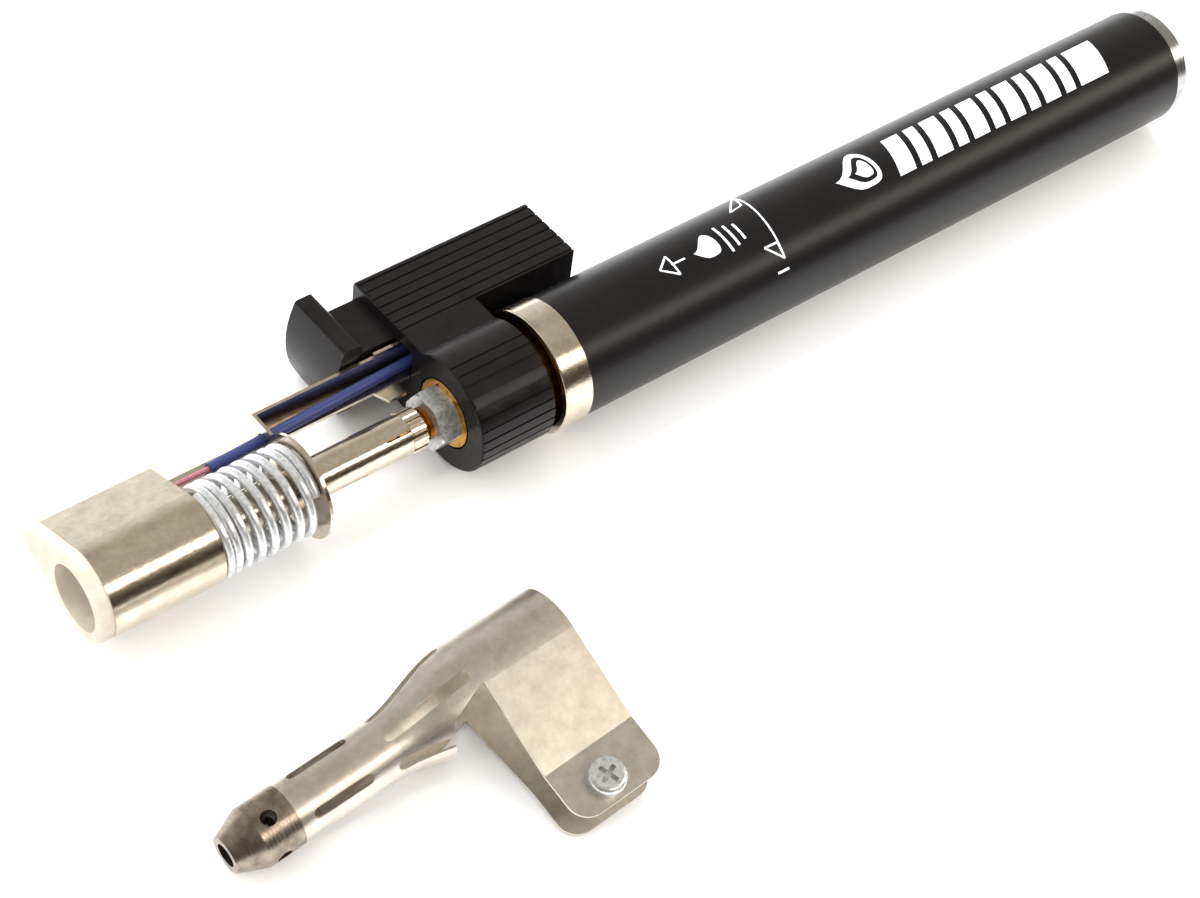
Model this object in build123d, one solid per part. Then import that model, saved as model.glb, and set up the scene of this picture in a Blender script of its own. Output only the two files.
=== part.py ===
from build123d import *
import math
import os

# A pen-sized butane torch: an aluminium gas tube with a turning valve head, a piezo
# igniter in a ribbed side block, a slim mixing tube, a sprung burner head, and a
# clamp-on soldering tip that lies beside it.
# Millimetres. X runs along the gas tube, from the burner (-X) to the filler (+X).
# The origin is on the tube's axis at its front edge, and +Z is up as the torch lies.

# ---------------------------------------------------------------- driving sizes
RUN_GAP = 0.05          # radial running clearance of a turning or sliding round fit
SLIDE_GAP = 0.1         # clearance on each side of a sliding flat fit
CLEAR = 0.3             # open gap between two pieces that never touch

# gas tube and its two ends
TUBE_R = 9.5
TUBE_WALL = 0.8
TUBE_LENGTH = 125.0
END_STEP = 0.2          # the end cap is this much slimmer than the tube, the collar fuller
CAP_R = TUBE_R - END_STEP
CAP_LENGTH = 3.0
CAP_EDGE = 0.9
CAP_SPIGOT = 7.0
CAP_RECESS_R = 4.5
CAP_RECESS_DEPTH = 1.6
COLLAR_R = TUBE_R + END_STEP
COLLAR_LENGTH = 4.8
COLLAR_WALL = 1.0
SEAT_INSIDE = 9.0       # length of the valve seat inside the tube
SEAT_LIP = 1.2          # length of the valve seat inside the collar
SEAT_NECK_R = 7.0
SEAT_NECK_REACH = 6.2   # how far the neck stands forward of the tube
STEM_R = 2.55
STEM_DEPTH = 4.0        # how far the valve stem reaches into the tube
ORIFICE_R = 0.7
NEEDLE_R = 0.5
NEEDLE_LENGTH = 3.5
SEAL_SECTION = 0.66     # section radius of the two large O-rings
SEAL_GROOVE = 1.4       # width of their grooves
STEM_SEAL_SECTION = 0.32
WICK_R = 1.6
WICK_LENGTH = 100.0

# filler valve in the end cap
FILLER_R = 3.15
FILLER_LENGTH = 13.0
FILLER_BORE = 1.6
FILLER_LIP = 0.8
FILLER_PROUD = 0.6
FILL_STEM_R = 0.8
FILL_HEAD_R = 1.4
FILL_HEAD_LENGTH = 1.8
FILL_SEAL_LENGTH = 0.8
FILL_TRAVEL = 1.2
FILL_TAIL_R = 0.55
FILL_TAIL_LENGTH = 4.5
FILL_SPRING_WIRE = 0.22

# valve head and igniter housing
RING_R = TUBE_R - CLEAR
RING_REAR = -6.5
HOUSING_FRONT = -19.3
BLOCK_REAR = 11.8
BLOCK_IN = TUBE_R + 1.1  # near face of the block, with air between it and the tube
BLOCK_OUT = BLOCK_IN + 12.2
BLOCK_HALF = 7.2
BLOCK_EDGE = 0.9
BLOCK_WALL = 1.35
CAVITY_HALF = 5.1
CABLE_SLOT_IN = BLOCK_IN - 2.7  # slot through the front wall for the bracket and the lead
CABLE_SLOT_DEPTH = 4.5
CABLE_SLOT_TOP = 5.0
FRONT_EDGE = 0.4        # rounding of the housing's front rim
RIB_PITCH = 1.75
RIB_DEPTH = 0.2
RIB_WIDTH = 0.35
RIB_LAND = 0.4          # plain strip between the rounded edge and the first rib
RING_RIB_START = 2.5    # degrees from the ring's top line to its first rib
VALVE_R = 5.0
VALVE_REAR = -7.2
WASHER_R = 5.3
WASHER_THICK = 0.7
NUT_AF = 8.0
NUT_THICK = 3.5
STUD_R = 2.5
STUD_PROUD = 1.4        # stud length forward of the nut
GAS_WAY_R = 0.5

# mixing tube
FERRULE_R = 3.2
FERRULE_LENGTH = 2.4
FERRULE_TEETH = 22
MIX_R = 3.05
MIX_WALL = 0.5
MIX_LENGTH = 40.0
JET_R = 1.9
JET_LENGTH = 5.8
JET_HOLE = 0.25
JET_COLLAR = 1.6
AIR_SLOTS = 2
AIR_SLOT_LENGTH = 4.6
AIR_SLOT_WIDTH = 1.8
AIR_SLOT_SETBACK = 7.8
AIR_SLOT_TURN = -58.0   # degrees from the top line to the first slot
SEAM_LENGTH = 4.0       # the rolled tube's open seam by the ferrule
SEAM_WIDTH = 0.3
SEAM_TURN = 38.0
SCREEN_THICK = 0.4
SCREEN_HOLE = 0.28

# bracket, lead, spring
FLANGE_X = -43.7
SHEET = 0.5
FLANGE_R = 7.9
WEB_OUT = BLOCK_IN + 0.8
WEB_TOP = 4.2
WEB_BOTTOM = 0.6
WEB_EAR_LENGTH = 4.5    # the web's raised ear beside the housing
WEB_EAR_HEIGHT = 0.6
FLOOR_IN = BLOCK_IN - 2.5
TONGUE_WIDTH = 2.0
TONGUE_REACH = 2.5      # how far the tongue guides the head
TONGUE_PLAY = 0.2
TAB_FRONT = 6.6         # the tab's corners, measured forward from the housing
TAB_SHOULDER = 5.4
TAB_REAR = 2.4
TAB_REACH = 2.4
LEAD_R = 0.85
LEAD_FRONT_OUT = BLOCK_IN - 2.4  # the lead's distance from the torch axis at its front end
LEAD_REAR_OUT = BLOCK_IN - 0.8  # and where it enters the housing
LEAD_HEIGHT = 1.47
LEAD_END = -53.2
LEAD_PLAY = 0.15
LEAD_TURN = 60.0        # degrees the lead turns to reach the side of the piezo unit
LEAD_BEND = 2.2
WIRE_R = 0.4
WIRE_PLAY = 0.25
ELECTRODE_SETBACK = 5.0  # from the burner's mouth back to the electrode's end
SPRING_R = 6.25         # mean coil radius
SPRING_WIRE = 0.65      # radius of the wire
SPRING_TURNS = 5.3      # open turns
SPRING_FRONT_TURNS = 1.9
SPRING_REAR_TURNS = 1.0
TURN_GAP = 0.02         # air between two closed turns

# burner head
HEAD_REAR = -60.2
SHROUD_LENGTH = 17.0
CERAMIC_PROUD = 2.0
HEAD_R = 6.9
HEAD_TIP_R = 3.0
HEAD_TIP_OFFSET = BLOCK_IN - 0.1
SHROUD_WALL = 0.5
CERAMIC_INSET = 0.15
FLAME_BORE = 5.0
FLAME_DEPTH = 12.6
LIP_EDGE = 0.8
SPARK_FRONT = 3.5       # spark gap's front and rear, behind the mouth
SPARK_REAR = 7.5
SPARK_HALF = 0.7
HEAD_TRAVEL = 2.0

# igniter button and piezo unit
PAD_FRONT = -29.8
PAD_REAR = -26.4
PAD_EDGE_THICK = 1.9
PAD_IN = BLOCK_IN + 1.15
PAD_OUT = BLOCK_OUT + 1.2
PAD_HALF = 7.0
PAD_LIP = 1.0
PAD_LIP_HEIGHT = 1.6
PAD_LIP_SLOPE = 0.8
PAD_TOP_EDGE = 0.6
PAD_FOOT_EDGE = 2.6
STEM_HALF = 5.0
STEM_INSIDE = 5.0       # length of the flat stem inside the housing at rest
BUTTON_TRAVEL = 4.0
PIEZO_FRONT = -9.9
PIEZO_WIDTH = 8.5
PIEZO_HALF = 4.2
PLUNGER_R = 1.9
PLUNGER_LENGTH = 9.0
PLUNGER_BORE_LENGTH = 10.5
CRYSTAL_R = 1.7
CRYSTAL_LENGTH = 4.5
BUTTON_SPRING_R = 2.55
BUTTON_SPRING_WIRE = 0.3

# clamp-on soldering tip
TIP_X = -35.6           # where the middle of its band lies beside the torch
TIP_Y = -37.9
TIP_YAW = 2.1
BAND_WIDTH = 14.8
BAND_GAP = 0.05         # play between the band and the burner head it clamps on
TIP_SHEET = 0.45
BAND_FLAT = 15.55       # axis to crease
FLANGE_LENGTH = 8.1
FLANGE_HALF = 3.78      # the flanges stand this far from the middle plane, unclamped
FLANGE_CORNER = 3.2
NECK_END = -22.6
SLEEVE_R = 4.38
SLEEVE_END = -36.7
NECK_SLOTS = 6
NECK_SLOT_WIDTH = 1.75
NECK_SLOT_LENGTH = 13.6
NECK_SLOT_MIDDLE = -15.0
NECK_SLOT_TURN = -4.0   # degrees from the top line to the first slot
NOTCH_OUT = 1.5         # the notch between neck and band starts this far below the axis
NOTCH_EDGE_X = -13.3
NOTCH_EDGE_OUT = 3.4
NOTCH_END_X = -15.0
NECK_LAND = 0.6         # neck left uncut between the notch and the band
SLEEVE_SLOTS = 4
SLEEVE_SLOT_WIDTH = 1.5
SLEEVE_SLOT_LENGTH = 9.2
SLEEVE_SLOT_MIDDLE = -30.1
SLEEVE_SLOT_TURN = 41.0
NOZZLE_CYLINDER = 5.4
NOZZLE_CONE = 4.0
NOZZLE_FACE_R = 2.7
NOZZLE_BORE = 1.7
NOZZLE_SPIGOT = 3.5
CROSS_HOLE_R = 1.1
CROSS_HOLE_SETBACK = 3.3
SCREW_R = 1.5
SCREW_HEAD_R = 2.7
SCREW_HEAD_HEIGHT = 1.9
SCREW_HEAD_EDGE = 0.8
SCREW_OFFSET_X = -0.9
SCREW_OFFSET_P = 20.3
SCREW_TAIL = 0.5
CROSS_ARM = 2.9         # length, width and twice the depth of the screw's cross recess
CROSS_WIDTH = 0.65
CROSS_DEPTH = 0.9
CROSS_TURN = 20.0

# ---------------------------------------------------------------- derived sizes
TUBE_BORE = TUBE_R - TUBE_WALL
COLLAR_BORE = COLLAR_R - COLLAR_WALL
PLUG_R = TUBE_BORE - 0.05
SEAT_BORE = STEM_R + RUN_GAP
CAP_FACE = TUBE_LENGTH + CAP_LENGTH
RECESS_X = CAP_FACE - CAP_RECESS_DEPTH
FILLER_X = RECESS_X + FILLER_PROUD
CAVITY_IN = BLOCK_IN + BLOCK_WALL
CAVITY_OUT = BLOCK_OUT - BLOCK_WALL
CAVITY_REAR = BLOCK_REAR - BLOCK_WALL
CAVITY_MIDDLE = (CAVITY_IN + CAVITY_OUT) / 2
NUT_FRONT = HOUSING_FRONT - NUT_THICK
STUD_FRONT = NUT_FRONT - STUD_PROUD
MIX_REAR = STUD_FRONT - FERRULE_LENGTH
MIX_FRONT = MIX_REAR - MIX_LENGTH
MIX_BORE = MIX_R - MIX_WALL
FLANGE_FRONT = FLANGE_X - SHEET
SHROUD_FRONT = HEAD_REAR - SHROUD_LENGTH
CERAMIC_FRONT = SHROUD_FRONT - CERAMIC_PROUD
BAND_R = HEAD_R + BAND_GAP + TIP_SHEET
BUTTON_STEM_REAR = HOUSING_FRONT + STEM_INSIDE
STEM_SEAL_X = STEM_DEPTH / 2 - 1.0
ELECTRODE_FRONT = CERAMIC_FRONT + ELECTRODE_SETBACK
BRACKET_REAR = HOUSING_FRONT + CABLE_SLOT_DEPTH - 0.5
CAP_SEAL_X = TUBE_LENGTH - CAP_SPIGOT / 2
SEAT_SEAL_X = SEAT_INSIDE / 2
FILL_SEAL_X = FILLER_X - FILLER_LIP - FILL_SEAL_LENGTH
FILL_HEAD_X = FILL_SEAL_X - FILL_HEAD_LENGTH


def lying_angle():
    # The torch lies on its tube and on the block's rounded lower outer edge.
    out = BLOCK_OUT - BLOCK_EDGE
    down = BLOCK_HALF - BLOCK_EDGE
    return math.degrees(math.asin((TUBE_R - BLOCK_EDGE) / math.hypot(out, down))
                        - math.atan2(down, out))


HEAD_TILT = lying_angle()


# ---------------------------------------------------------------- small helpers
def rod(x0, x1, radius, y=0.0, z=0.0):
    # A round bar along X.
    return Pos((x0 + x1) / 2, y, z) * Rot(0, 90, 0) * Cylinder(radius, abs(x1 - x0))


def pipe(x0, x1, outer, inner, y=0.0, z=0.0):
    # A round tube along X.
    return rod(x0, x1, outer, y, z) - rod(min(x0, x1) - 1, max(x0, x1) + 1, inner, y, z)


def slab(x0, x1, y0, y1, z0, z1):
    # A rectangular block given by its two corners.
    return Pos((x0 + x1) / 2, (y0 + y1) / 2, (z0 + z1) / 2) * Box(x1 - x0, y1 - y0, z1 - z0)


def ring_x(x, radius, section):
    # An O-ring or closed coil about X.
    return Pos(x, 0, 0) * Rot(0, 90, 0) * Torus(radius, section)


def along_x(sketch, x0, x1):
    # A sketch drawn in the Y-Z plane, extruded from x0 to x1.
    return extrude(Plane(origin=(x0, 0, 0), x_dir=(0, 1, 0), z_dir=(1, 0, 0)) * sketch, x1 - x0)


def coil(x0, x1, radius, wire, pitch):
    # An open helix about X with a closed ring at each end.
    first = x0 + wire
    last = x1 - wire
    path = Helix(pitch, last - first, radius)
    section = Plane(path @ 0, z_dir=path % 0) * Circle(wire)
    helix = Pos(first, 0, 0) * Rot(0, 90, 0) * sweep(section, path=path, is_frenet=True)
    return helix + ring_x(first, radius, wire) + ring_x(last, radius, wire)


def tilted(shape):
    # Turns a head piece from its own upright frame to the way the torch lies.
    return Rot(-HEAD_TILT, 0, 0) * shape


# ---------------------------------------------------------------- handle
def gas_tube():
    return pipe(0, TUBE_LENGTH, TUBE_R, TUBE_BORE)


def seal_seat(x):
    # Groove cutter for a large O-ring in a plug.
    depth_r = PLUG_R - 2 * SEAL_SECTION + 0.02
    return pipe(x - SEAL_GROOVE / 2, x + SEAL_GROOVE / 2, PLUG_R + 1, depth_r)


def large_seal(x):
    return ring_x(x, PLUG_R - SEAL_SECTION + 0.02, SEAL_SECTION)


def end_cap():
    head = fillet(rod(TUBE_LENGTH, CAP_FACE, CAP_R).edges().group_by(Axis.X)[-1], CAP_EDGE)
    body = head + rod(TUBE_LENGTH - CAP_SPIGOT, TUBE_LENGTH, PLUG_R)
    body -= seal_seat(CAP_SEAL_X)
    body -= rod(RECESS_X, CAP_FACE + 1, CAP_RECESS_R)
    return body - rod(0, CAP_FACE, FILLER_R)


def filler_valve_body():
    inner_end = FILLER_X - FILLER_LENGTH
    body = rod(inner_end, FILLER_X, FILLER_R)
    body -= rod(inner_end + 1.0, FILLER_X - FILLER_LIP, FILLER_BORE)
    body -= rod(inner_end - 1, inner_end + 2, FILL_STEM_R)
    return body - rod(FILLER_X - 2, FILLER_X + 1, FILL_STEM_R + RUN_GAP)


def filler_seal():
    return pipe(FILL_SEAL_X, FILL_SEAL_X + FILL_SEAL_LENGTH, FILLER_BORE, FILL_STEM_R + RUN_GAP)


def filler_stem():
    body = rod(FILL_HEAD_X, FILL_SEAL_X, FILL_HEAD_R)
    body += rod(FILL_SEAL_X, CAP_FACE - CLEAR, FILL_STEM_R)
    return body + rod(FILL_HEAD_X - FILL_TAIL_LENGTH, FILL_HEAD_X, FILL_TAIL_R)


def filler_spring():
    mean = FILLER_BORE - 0.1 - FILL_SPRING_WIRE
    return coil(FILLER_X - FILLER_LENGTH + 1.0, FILL_HEAD_X, mean, FILL_SPRING_WIRE, 1.1)


def gas_wick():
    return rod(SEAT_INSIDE, SEAT_INSIDE + WICK_LENGTH, WICK_R)


def front_collar():
    ring = pipe(-COLLAR_LENGTH, 0, COLLAR_R, COLLAR_BORE)
    front = ring.edges().filter_by(GeomType.CIRCLE).group_by(Axis.X)[0]
    return fillet(front.sort_by(SortBy.RADIUS)[-1], 0.25)


def valve_seat():
    body = rod(-SEAT_LIP, 0, COLLAR_BORE) + rod(0, SEAT_INSIDE, PLUG_R)
    body += rod(-SEAT_NECK_REACH, -SEAT_LIP, SEAT_NECK_R)
    body -= seal_seat(SEAT_SEAL_X)
    body -= rod(-SEAT_NECK_REACH - 1, STEM_DEPTH + 1.0, SEAT_BORE)
    return body - rod(0, SEAT_INSIDE + 1, ORIFICE_R)


# ---------------------------------------------------------------- valve head
def rib_cutters():
    # Fine lengthwise grooves on the block's top and bottom and round the ring.
    cuts = []
    length = BLOCK_REAR - HOUSING_FRONT + 2
    middle = (BLOCK_REAR + HOUSING_FRONT) / 2
    first = BLOCK_OUT - BLOCK_EDGE - RIB_LAND
    for side in (-1, 1):
        for row in range(int((first - BLOCK_IN) / RIB_PITCH) + 1):
            cutter = Box(length, RIB_WIDTH, 2 * RIB_DEPTH)
            cuts.append(Pos(middle, first - row * RIB_PITCH, side * BLOCK_HALF) * cutter)
    step = math.degrees(RIB_PITCH / RING_R)
    for k in range(int((180 - 2 * RING_RIB_START) / step) + 1):
        groove = Pos(middle, 0, RING_R) * Box(length, RIB_WIDTH, 2 * RIB_DEPTH)
        cuts.append(Rot(RING_RIB_START + k * step, 0, 0) * groove)
    return cuts


def igniter_housing():
    ring = rod(HOUSING_FRONT, RING_REAR, RING_R)
    bridge = slab(HOUSING_FRONT, RING_REAR, 0, BLOCK_OUT, -BLOCK_HALF, BLOCK_HALF)
    block = slab(HOUSING_FRONT, BLOCK_REAR, BLOCK_IN, BLOCK_OUT, -BLOCK_HALF, BLOCK_HALF)
    body = ring + bridge + block
    long_edges = body.edges().filter_by(Axis.X).filter_by(lambda e: e.center().Y > BLOCK_OUT - 0.1)
    body = fillet(long_edges, BLOCK_EDGE)
    rim = body.edges().filter_by(lambda e: abs(e.center().X - HOUSING_FRONT) < 0.01)
    body = fillet(rim, FRONT_EDGE)
    body -= slab(HOUSING_FRONT - 1, CAVITY_REAR, CAVITY_IN, CAVITY_OUT, -CAVITY_HALF, CAVITY_HALF)
    body -= rod(HOUSING_FRONT - 1, RING_REAR + 1, VALVE_R)
    body -= rod(HOUSING_FRONT - 1, HOUSING_FRONT + WASHER_THICK, WASHER_R + CLEAR)
    slot_rear = HOUSING_FRONT + CABLE_SLOT_DEPTH
    body -= slab(HOUSING_FRONT - 1, slot_rear, CABLE_SLOT_IN, WEB_OUT + SLIDE_GAP,
                 WEB_BOTTOM - SHEET, CABLE_SLOT_TOP)
    body -= slab(slot_rear - 1, RING_REAR - CLEAR, CABLE_SLOT_IN, CAVITY_IN + 1,
                 LEAD_HEIGHT - LEAD_R - CLEAR, LEAD_HEIGHT + LEAD_R + CLEAR)
    for cutter in rib_cutters():
        body -= cutter
    return body


def valve_body():
    body = rod(HOUSING_FRONT + WASHER_THICK, VALVE_REAR, VALVE_R)
    body += rod(VALVE_REAR, STEM_DEPTH, STEM_R)
    body += rod(STUD_FRONT, HOUSING_FRONT + WASHER_THICK, STUD_R)
    body -= pipe(STEM_SEAL_X - 0.4, STEM_SEAL_X + 0.4, STEM_R + 1, STEM_R - 2 * STEM_SEAL_SECTION)
    body -= pipe(STUD_FRONT + 0.4, STUD_FRONT + 0.8, STUD_R + 1, STUD_R - 0.3)
    return body - rod(STUD_FRONT - 1, STEM_DEPTH - 2.0, GAS_WAY_R)


def valve_needle():
    cone_at = STEM_DEPTH + NEEDLE_LENGTH / 2
    cone = Pos(cone_at + NEEDLE_LENGTH / 4, 0, 0) * Rot(0, 90, 0) * Cone(NEEDLE_R, 0.08, NEEDLE_LENGTH / 2)
    return rod(STEM_DEPTH, cone_at, NEEDLE_R) + cone


def brass_washer():
    return pipe(HOUSING_FRONT, HOUSING_FRONT + WASHER_THICK, WASHER_R, STUD_R)


def hex_nut():
    outline = RegularPolygon(NUT_AF / 2, 6, major_radius=False)
    body = along_x(outline, NUT_FRONT, HOUSING_FRONT)
    corner_r = NUT_AF / math.sqrt(3)
    chamfered = Pos((NUT_FRONT + HOUSING_FRONT) / 2, 0, 0) * Rot(0, 90, 0) * chamfer(
        Cylinder(corner_r, NUT_THICK).edges().filter_by(GeomType.CIRCLE), 0.35)
    return (body & chamfered) - rod(NUT_FRONT - 1, HOUSING_FRONT + 1, STUD_R)


def knurled_ferrule():
    body = pipe(MIX_REAR, STUD_FRONT, FERRULE_R, JET_R)
    depth = 0.25
    for k in range(FERRULE_TEETH):
        groove = Pos((MIX_REAR + STUD_FRONT) / 2, 0, FERRULE_R) * Rot(45, 0, 0) * Box(
            FERRULE_LENGTH + 1, 2 * depth / math.sqrt(2), 2 * depth / math.sqrt(2))
        body -= Rot(k * 360 / FERRULE_TEETH, 0, 0) * groove
    return body


def gas_jet():
    front = STUD_FRONT - JET_LENGTH
    body = rod(front, STUD_FRONT, JET_R) + rod(MIX_REAR - JET_COLLAR, MIX_REAR, MIX_BORE)
    return body - rod(front - 1, STUD_FRONT + 1, JET_HOLE)


def burner_tube():
    # A rolled tube with two air slots and its seam left open at the rear.
    body = pipe(MIX_FRONT, MIX_REAR, MIX_R, MIX_BORE)
    rear = MIX_REAR - AIR_SLOT_SETBACK
    slot = slab(rear - AIR_SLOT_LENGTH, rear, -AIR_SLOT_WIDTH / 2, AIR_SLOT_WIDTH / 2,
                MIX_BORE - CLEAR, MIX_R + 1)
    for k in range(AIR_SLOTS):
        body -= Rot(AIR_SLOT_TURN + k * 360 / AIR_SLOTS, 0, 0) * slot
    seam = slab(MIX_REAR - SEAM_LENGTH, MIX_REAR + 1, -SEAM_WIDTH / 2, SEAM_WIDTH / 2,
                MIX_BORE - CLEAR, MIX_R + 1)
    return body - Rot(SEAM_TURN, 0, 0) * seam


def flame_screen():
    x = MIX_FRONT + 2.0
    body = rod(x, x + SCREEN_THICK, MIX_BORE)
    reach = MIX_BORE - SCREEN_HOLE - 0.3
    pitch = 0.9
    for row in range(-2, 3):
        for column in range(-2, 3):
            if math.hypot(row * pitch, column * pitch) < reach:
                body -= rod(x - 1, x + 2, SCREEN_HOLE, row * pitch, column * pitch)
    return body


# ---------------------------------------------------------------- bracket, lead and spring
def lead_out(x):
    # The lead's distance from the torch axis at x, on its straight run.
    share = (x - LEAD_END) / (HOUSING_FRONT - LEAD_END)
    return LEAD_FRONT_OUT + share * (LEAD_REAR_OUT - LEAD_FRONT_OUT)


def wire_bracket():
    under = WEB_BOTTOM - SHEET
    web = slab(FLANGE_FRONT, BRACKET_REAR, WEB_OUT - SHEET, WEB_OUT, under, WEB_TOP)
    web += slab(HOUSING_FRONT - WEB_EAR_LENGTH, BRACKET_REAR, WEB_OUT - SHEET, WEB_OUT,
                under, WEB_TOP + WEB_EAR_HEIGHT)
    floor = slab(FLANGE_FRONT, BRACKET_REAR, FLOOR_IN, WEB_OUT, under, WEB_BOTTOM)
    tab_end = FLOOR_IN - TAB_REACH
    tab_root = FLOOR_IN + SHEET
    tab = extrude(Plane.XY.offset(under) * make_face(Polyline(
        (HOUSING_FRONT - TAB_FRONT, tab_root), (HOUSING_FRONT - TAB_SHOULDER, tab_end),
        (HOUSING_FRONT - TAB_REAR, tab_end), (HOUSING_FRONT - TAB_REAR, tab_root), close=True)), SHEET)
    arm = slab(FLANGE_FRONT, FLANGE_X, 0, WEB_OUT, under, WEB_TOP)
    plate = rod(FLANGE_FRONT, FLANGE_X, FLANGE_R) + arm - rod(FLANGE_FRONT - 1, FLANGE_X + 1, MIX_R)
    tongue = slab(HEAD_REAR - TONGUE_REACH, FLANGE_X, FLOOR_IN, FLOOR_IN + TONGUE_WIDTH, under, WEB_BOTTOM)
    lead_hole = rod(FLANGE_FRONT - 1, FLANGE_X + 1, LEAD_R + LEAD_PLAY, lead_out(FLANGE_X), LEAD_HEIGHT)
    return (web + floor + tab + plate - lead_hole) + tongue


def lead_path():
    # Straight through the flange and the bracket, then a turn into the piezo cavity.
    turn = math.radians(LEAD_TURN)
    touch = CAVITY_MIDDLE - PIEZO_WIDTH / 2 - LEAD_R * math.cos(turn) - RUN_GAP
    knee_out = lead_out(PIEZO_FRONT)
    run = (touch - knee_out) / math.tan(turn)
    return FilletPolyline((LEAD_END, LEAD_FRONT_OUT, LEAD_HEIGHT), (PIEZO_FRONT, knee_out, LEAD_HEIGHT),
                          (PIEZO_FRONT + run, touch, LEAD_HEIGHT), radius=LEAD_BEND)


def ignition_lead():
    path = lead_path()
    return sweep(Plane(path @ 0, z_dir=path % 0) * Circle(LEAD_R), path=path)


def electrode_wire():
    return rod(ELECTRODE_FRONT, LEAD_END, WIRE_R, LEAD_FRONT_OUT, LEAD_HEIGHT)


def coil_spring():
    # One wire with closed turns at both ends and open turns between.
    closed = 2 * SPRING_WIRE + TURN_GAP
    climb = FLANGE_FRONT - HEAD_REAR - 2 * SPRING_WIRE
    front = closed * SPRING_FRONT_TURNS
    rear = closed * SPRING_REAR_TURNS
    middle = climb - front - rear
    parts = []
    height = 0.0
    turned = 0.0
    for length, turns in ((front, SPRING_FRONT_TURNS), (middle, SPRING_TURNS), (rear, SPRING_REAR_TURNS)):
        parts.append(Pos(0, 0, height) * Rot(0, 0, turned) * Helix(length / turns, length, SPRING_R))
        height += length
        turned += 360 * turns
    path = Wire([part.edge() for part in parts])
    section = Plane(path @ 0, z_dir=path % 0) * Circle(SPRING_WIRE)
    wire = sweep(section, path=path, is_frenet=True, transition=Transition.ROUND)
    return Pos(HEAD_REAR + SPRING_WIRE, 0, 0) * Rot(0, 90, 0) * wire


# ---------------------------------------------------------------- burner head
def head_outline(inset):
    # A teardrop: a large circle about the torch axis and a small one towards the block.
    large = Circle(HEAD_R - inset)
    small = Pos(HEAD_TIP_OFFSET, 0) * Circle(HEAD_TIP_R - inset)
    return make_hull(large.edges() + small.edges())


def guide_cutter():
    # Room for the bracket's tongue and for the electrode wire.
    far = HEAD_REAR - TONGUE_REACH - HEAD_TRAVEL - CLEAR
    room = slab(far, HEAD_REAR + 1, FLOOR_IN - TONGUE_PLAY, FLOOR_IN + TONGUE_WIDTH + TONGUE_PLAY,
                WEB_BOTTOM - SHEET - TONGUE_PLAY, WEB_BOTTOM + TONGUE_PLAY)
    wire_way = rod(ELECTRODE_FRONT - HEAD_TRAVEL - 1, HEAD_REAR + 1, WIRE_R + WIRE_PLAY,
                   LEAD_FRONT_OUT, LEAD_HEIGHT)
    return room + wire_way


def head_shroud():
    body = along_x(head_outline(0), SHROUD_FRONT, HEAD_REAR)
    body -= along_x(head_outline(SHROUD_WALL), SHROUD_FRONT - 1, HEAD_REAR - SHROUD_WALL)
    body -= rod(HEAD_REAR - 2, HEAD_REAR + 1, MIX_R + RUN_GAP)
    return body - guide_cutter()


def ceramic_nozzle():
    body = along_x(head_outline(SHROUD_WALL), SHROUD_FRONT, HEAD_REAR - SHROUD_WALL)
    lip = along_x(head_outline(CERAMIC_INSET), CERAMIC_FRONT, SHROUD_FRONT)
    lip = fillet(lip.faces().sort_by(Axis.X)[0].edges(), LIP_EDGE)
    body += lip
    body -= rod(CERAMIC_FRONT - 1, CERAMIC_FRONT + FLAME_DEPTH, FLAME_BORE)
    body -= rod(CERAMIC_FRONT - 1, HEAD_REAR + 1, MIX_R + RUN_GAP)
    spark_way = slab(CERAMIC_FRONT + SPARK_FRONT, CERAMIC_FRONT + SPARK_REAR, 0, LEAD_FRONT_OUT,
                     LEAD_HEIGHT - SPARK_HALF, LEAD_HEIGHT + SPARK_HALF)
    return body - guide_cutter() - spark_way


# ---------------------------------------------------------------- igniter button and piezo unit
def igniter_button():
    edge_front = PAD_REAR - PAD_EDGE_THICK
    lip_rear = PAD_REAR + PAD_LIP
    lip_foot = PAD_HALF - PAD_LIP_HEIGHT
    profile = make_face(
        ThreePointArc((edge_front, -PAD_HALF), (PAD_FRONT, 0), (edge_front, PAD_HALF))
        + Polyline((edge_front, PAD_HALF), (lip_rear, PAD_HALF), (lip_rear, lip_foot),
                   (PAD_REAR, lip_foot - PAD_LIP_SLOPE), (PAD_REAR, -PAD_HALF), (edge_front, -PAD_HALF)))
    pad = extrude(Plane.XZ.offset(-PAD_OUT) * profile, PAD_OUT - PAD_IN)
    top = pad.edges().filter_by(Axis.Y).filter_by(lambda e: e.center().Z > PAD_HALF - 0.1)
    pad = fillet(top, PAD_TOP_EDGE)
    bottom = pad.edges().filter_by(Axis.X).filter_by(lambda e: e.center().Z < -PAD_HALF + 0.1)
    pad = fillet(bottom, PAD_FOOT_EDGE)
    stem = slab(PAD_REAR - 0.5, BUTTON_STEM_REAR, CAVITY_IN + SLIDE_GAP, CAVITY_OUT - SLIDE_GAP,
                -STEM_HALF, STEM_HALF)
    return pad + stem


def on_piezo_axis(shape):
    return Pos(0, CAVITY_MIDDLE, 0) * shape


def piezo_plunger():
    return on_piezo_axis(rod(BUTTON_STEM_REAR, BUTTON_STEM_REAR + PLUNGER_LENGTH, PLUNGER_R))


def button_spring():
    return on_piezo_axis(coil(BUTTON_STEM_REAR, PIEZO_FRONT, BUTTON_SPRING_R, BUTTON_SPRING_WIRE, 1.3))


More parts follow.
